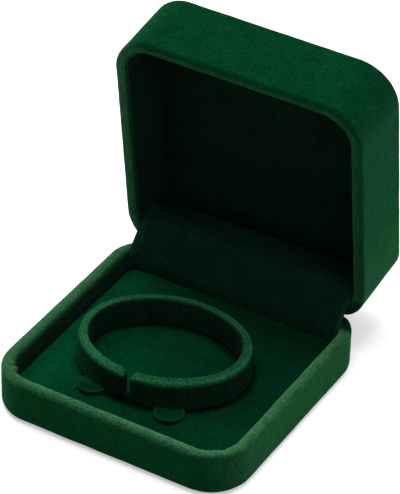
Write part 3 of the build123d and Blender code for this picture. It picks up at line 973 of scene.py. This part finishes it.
def keep_inside(points, gap):
    """Draw points that lie in either half in from its lined walls and rounded corners."""
    corner_x, corner_y = box_width / 2 - corner_radius, box_depth / 2 - corner_radius
    halves = (
        (base_rim, 0, points[:, 1].copy(), base_height - points[:, 2]),
        (lid_rim, open_angle, *lid_local(points)),
    )
    for rim, turn, y, depth in halves:
        wall = rim - rim_inner_roll * (1 - step(depth, 0, rim_inner_roll)) + gap + 0.05 * MM
        wall += (lining_clearance + lining) * step(depth, lining_start, lining_start + 4 * MM)
        x = np.abs(points[:, 0])
        side, away = x - corner_x, y - corner_y
        round_it = (side > 0) & (away > 0)
        far = np.where(round_it, np.hypot(side, away), np.maximum(side, 1e-9))
        scale = np.where(side > 0, np.minimum(1, (corner_radius - wall) / far), 1)
        scale = 1 + (scale - 1) * step(depth, -0.8 * MM, 0)
        shift = np.where(round_it, away * (scale - 1), 0)
        points[:, 0] = np.sign(points[:, 0]) * np.where(side > 0, corner_x + side * scale, x)
        points[:, 1] += shift * math.cos(turn)
        points[:, 2] -= shift * math.sin(turn)


def flap_piece():
    """The flap as a thin slab that curls up the rounded corners at its sides."""
    half = flap_thickness / 2
    edge = flap_corner + flap_curl_radius * flap_curl
    flat = np.linspace(-flap_corner, flap_corner, 53)
    curl = flap_corner + flap_curl_radius * flap_curl * np.linspace(0, 1, 13)[1:-1]
    tip = [edge - half, edge - 0.6 * half, edge - 0.3 * half, edge - 0.1 * half, edge]
    right = np.concatenate([curl, tip])
    spots = np.concatenate([-right[::-1], flat, right])
    turned = np.clip((np.abs(spots) - flap_corner) / flap_curl_radius, 0, None)
    across = np.sign(spots) * np.where(
        turned > 0, flap_corner + flap_curl_radius * np.sin(turned), np.abs(spots)
    )
    share = (1 - np.cos(turned)) / (1 - math.cos(flap_curl))
    grid = np.zeros((len(flap_middle), len(spots), 3))
    grid[:, :, 0] = across
    for k in range(2):
        middle, side = flap_middle[:, k][:, None], flap_side[:, k][:, None]
        grid[:, :, k + 1] = middle + (side - middle) * share
    free = step(grid[:, :, 2], 11 * MM, 18 * MM) * step(grid[:, :, 1], 50 * MM, 45 * MM)
    grid[:, :, 0] -= flap_draw_in * np.sign(across) * share * free
    rows = np.arange(len(flap_middle))[:, None]
    bow = seam_shift(across) * step(rows, seam_row - seam_fade_rows, seam_row)
    grid[:, :, 1] += bow * math.cos(open_angle)
    grid[:, :, 2] -= bow * math.sin(open_angle)
    normal = np.cross(np.gradient(grid, axis=1), np.gradient(grid, axis=0))
    normal /= np.linalg.norm(normal, axis=2)[:, :, None]
    near_end = np.clip((np.abs(spots) - (edge - flap_taper)) / flap_taper, 0, 1)
    thick = np.broadcast_to(flap_thickness * np.sqrt(1 - near_end**2), grid.shape[:2])
    behind = grid - normal * flap_thickness
    front = behind + normal * thick[:, :, None]
    for layer, gap in ((front, thick), (behind, 0 * thick)):
        points = layer.reshape(-1, 3)
        keep_inside(points, gap.ravel())
        layer[:] = points.reshape(layer.shape)
    loops = np.concatenate([front, behind[:, -2:0:-1]], axis=1)
    return closed_rings("hinge_flap_velvet", list(loops), lambda points: points, capped=True)


def flap_painted_light(piece):
    """Painted light of the flap: painted highlights along its free side edges and lighter towards
    the panel, and painted shade in the seam's crease, at its foot and under the seam on the left."""
    points = read_points(piece)
    x, z = points[:, 0], points[:, 2]
    y, depth = lid_local(points)
    past_seam = seam_shift(x) + panel_back + 0.1 * MM
    crease_shade = step(depth, panel_face - 1.2 * MM, panel_face - 0.7 * MM)
    crease_shade *= step(y, past_seam - 0.4 * MM, past_seam - 0.1 * MM)
    edge_highlight = step(np.abs(x), 39.8 * MM, 40.8 * MM)
    edge_highlight *= step(z, 13 * MM, 16 * MM) * step(depth, 4 * MM, 0)
    foot = step(z, pad_high.z + 3.2 * MM, pad_high.z + 0.7 * MM)
    foot *= 0.25 + 0.3 * step(x, 0, -35 * MM)
    under_seam_shade = step(depth, 8 * MM, 13 * MM) * step(x, -10 * MM, -26 * MM)
    near_panel = step(depth, 12 * MM, 18 * MM) * (1 - crease_shade)
    return 0.9 * edge_highlight + 0.45 * near_panel - 0.8 * crease_shade - foot - 0.6 * under_seam_shade


flap = flap_piece()
set_painted_light(flap, flap_painted_light(flap))
ruffle(flap, ((0.15 * MM, 14 * MM), (0.05 * MM, 3 * MM)), 10)
finish_piece(flap, None, flap_velvet, "flap_velvet", "hinge_flap")
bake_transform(flap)


# Camera at the photograph's angle

photo_height = 494
focal_px = 3024.18
camera_place = (0.408539, -0.701501, 0.654437)
camera_right = (0.859177, 0.511134, 0.023621)
camera_up = (-0.319270, 0.499449, 0.805368)
camera_back = (0.399853, -0.699495, 0.592304)

camera_data = bpy.data.cameras.new("camera")
camera_data.sensor_width = 36.0
camera_data.lens = focal_px / photo_height * camera_data.sensor_width
camera_data.clip_start = 0.01
camera_data.clip_end = 100
camera = bpy.data.objects.new("camera", camera_data)
bpy.context.scene.collection.objects.link(camera)
camera_turn = Matrix((camera_right, camera_up, camera_back)).transposed().to_4x4()
camera.matrix_world = Matrix.Translation(camera_place) @ camera_turn
bpy.context.scene.camera = camera


# Floor, backdrop and lights

world_strength = 0.08
floor_white = 0.8
floor_lift = 0.45
floor_radius = 6.0
floor_drop = 0.1 * MM
lamp_distance = 1.3
lamp_size = 0.7
lamp_aim = np.array([0, 0.01, 0.04])


def seen_rays(tree):
    """Socket that is 1 for rays that show the background: camera, glossy and transmission."""
    path = node(tree, "ShaderNodeLightPath")
    seen = path.outputs["Is Camera Ray"]
    for kind in ("Is Glossy Ray", "Is Transmission Ray"):
        either = node(tree, "ShaderNodeMath", operation="MAXIMUM")
        tree.links.new(seen, either.inputs[0])
        tree.links.new(path.outputs[kind], either.inputs[1])
        seen = either.outputs[0]
    return seen


def add_world():
    """Weak white light from all round, which shows as white itself."""
    world = bpy.data.worlds.new("studio")
    world.use_nodes = True
    bpy.context.scene.world = world
    tree = world.node_tree
    background = tree.nodes["Background"]
    background.inputs["Color"].default_value = (1, 1, 1, 1)
    background.inputs["Strength"].default_value = world_strength
    white = node(tree, "ShaderNodeBackground", Color=(1, 1, 1, 1), Strength=1.0)
    choose = node(tree, "ShaderNodeMixShader")
    tree.links.new(seen_rays(tree), choose.inputs[0])
    tree.links.new(background.outputs[0], choose.inputs[1])
    tree.links.new(white.outputs[0], choose.inputs[2])
    tree.links.new(choose.outputs[0], tree.nodes["World Output"].inputs["Surface"])


def floor_material():
    """Pale floor that shows white where no shadow falls."""
    material, tree, shader = new_material("floor")
    shader.inputs["Base Color"].default_value = (floor_white, floor_white, floor_white, 1)
    shader.inputs["Roughness"].default_value = 0.9
    shader.inputs["Specular IOR Level"].default_value = 0.0
    lift = node(tree, "ShaderNodeMath", operation="MULTIPLY")
    tree.links.new(seen_rays(tree), lift.inputs[0])
    lift.inputs[1].default_value = floor_lift
    tree.links.new(lift.outputs[0], shader.inputs["Emission Strength"])
    shader.inputs["Emission Color"].default_value = (1, 1, 1, 1)
    return material


def add_floor():
    """Wide round floor, a hair below the box so that no two faces share a place."""
    angles = np.linspace(0, 2 * math.pi, 64, endpoint=False)
    points = [
        (floor_radius * math.cos(a), floor_radius * math.sin(a), -floor_drop) for a in angles
    ]
    mesh = bpy.data.meshes.new("floor")
    mesh.from_pydata(points, [], [tuple(range(len(points)))])
    floor = bpy.data.objects.new("floor", mesh)
    bpy.context.scene.collection.objects.link(floor)
    mesh.materials.append(floor_material())


def add_light(name, azimuth, elevation, power):
    """Soft square lamp aimed at the box, at an azimuth from the front to the right."""
    data = bpy.data.lights.new(name, "AREA")
    data.shape = "SQUARE"
    data.size = lamp_size
    data.energy = power
    lamp = bpy.data.objects.new(name, data)
    bpy.context.scene.collection.objects.link(lamp)
    a, e = math.radians(azimuth), math.radians(elevation)
    away = np.array([math.sin(a) * math.cos(e), -math.cos(a) * math.cos(e), math.sin(e)])
    lamp.location = lamp_aim + away * lamp_distance
    lamp.rotation_mode = "QUATERNION"
    lamp.rotation_quaternion = Vector(-away).to_track_quat("-Z", "Y")


add_world()
add_floor()
add_light("top", azimuth=0, elevation=88, power=12.9)
add_light("right_back", azimuth=160, elevation=22, power=6.1)
add_light("left_back", azimuth=-115, elevation=50, power=8.5)
add_light("right_front", azimuth=45, elevation=50, power=3.0)
bpy.context.scene.view_settings.view_transform = "Standard"


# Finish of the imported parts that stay


def plain_material(name, color, roughness, metallic, scale, variation):
    """Solid colour with a fine procedural variation and bump."""
    material, tree, shader = new_material(name)
    place = node(tree, "ShaderNodeTexCoord").outputs["Object"]
    grain = node(tree, "ShaderNodeTexNoise", Scale=scale, Detail=4.0)
    tree.links.new(place, grain.inputs["Vector"])
    ramp = node(tree, "ShaderNodeValToRGB")
    ramp.color_ramp.elements[0].color = (*[c * (1 - variation) for c in color], 1)
    ramp.color_ramp.elements[1].color = (*[min(1, c * (1 + variation)) for c in color], 1)
    tree.links.new(grain.outputs["Fac"], ramp.inputs["Fac"])
    tree.links.new(ramp.outputs["Color"], shader.inputs["Base Color"])
    bump = node(tree, "ShaderNodeBump", Strength=0.2, Distance=0.05 * MM)
    tree.links.new(grain.outputs["Fac"], bump.inputs["Height"])
    tree.links.new(bump.outputs["Normal"], shader.inputs["Normal"])
    shader.inputs["Roughness"].default_value = roughness
    shader.inputs["Metallic"].default_value = metallic
    return material


# Name, colour, roughness, metallic, grain scale and variation, then the parts that have it
for *finish, parts in (
    ("moulded_shell", (0.03, 0.03, 0.03), 0.6, 0.0, 900, 0.2,
     ("base_shell", "lid_shell", "ring_core")),
    ("card", (0.35, 0.3, 0.22), 0.9, 0.0, 1500, 0.25,
     ("pad_riser", "pad_board", "lid_panel_board")),
    ("foam", (0.75, 0.75, 0.7), 0.95, 0.0, 2500, 0.2, ("pad_foam", "lid_panel_foam")),
    ("underside_paper", (0.012, 0.05, 0.03), 0.85, 0.0, 2200, 0.4, ("base_bottom_panel",)),
    ("hinge_steel", (0.42, 0.4, 0.37), 0.38, 1.0, 1400, 0.1,
     ("hinge_leaf_base", "hinge_leaf_lid", "hinge_pin", "snap_spring", "base_rivets",
      "lid_rivets")),
):
    material = plain_material(*finish)
    for part in parts:
        frame["nodes"][part].data.materials.clear()
        frame["nodes"][part].data.materials.append(material)
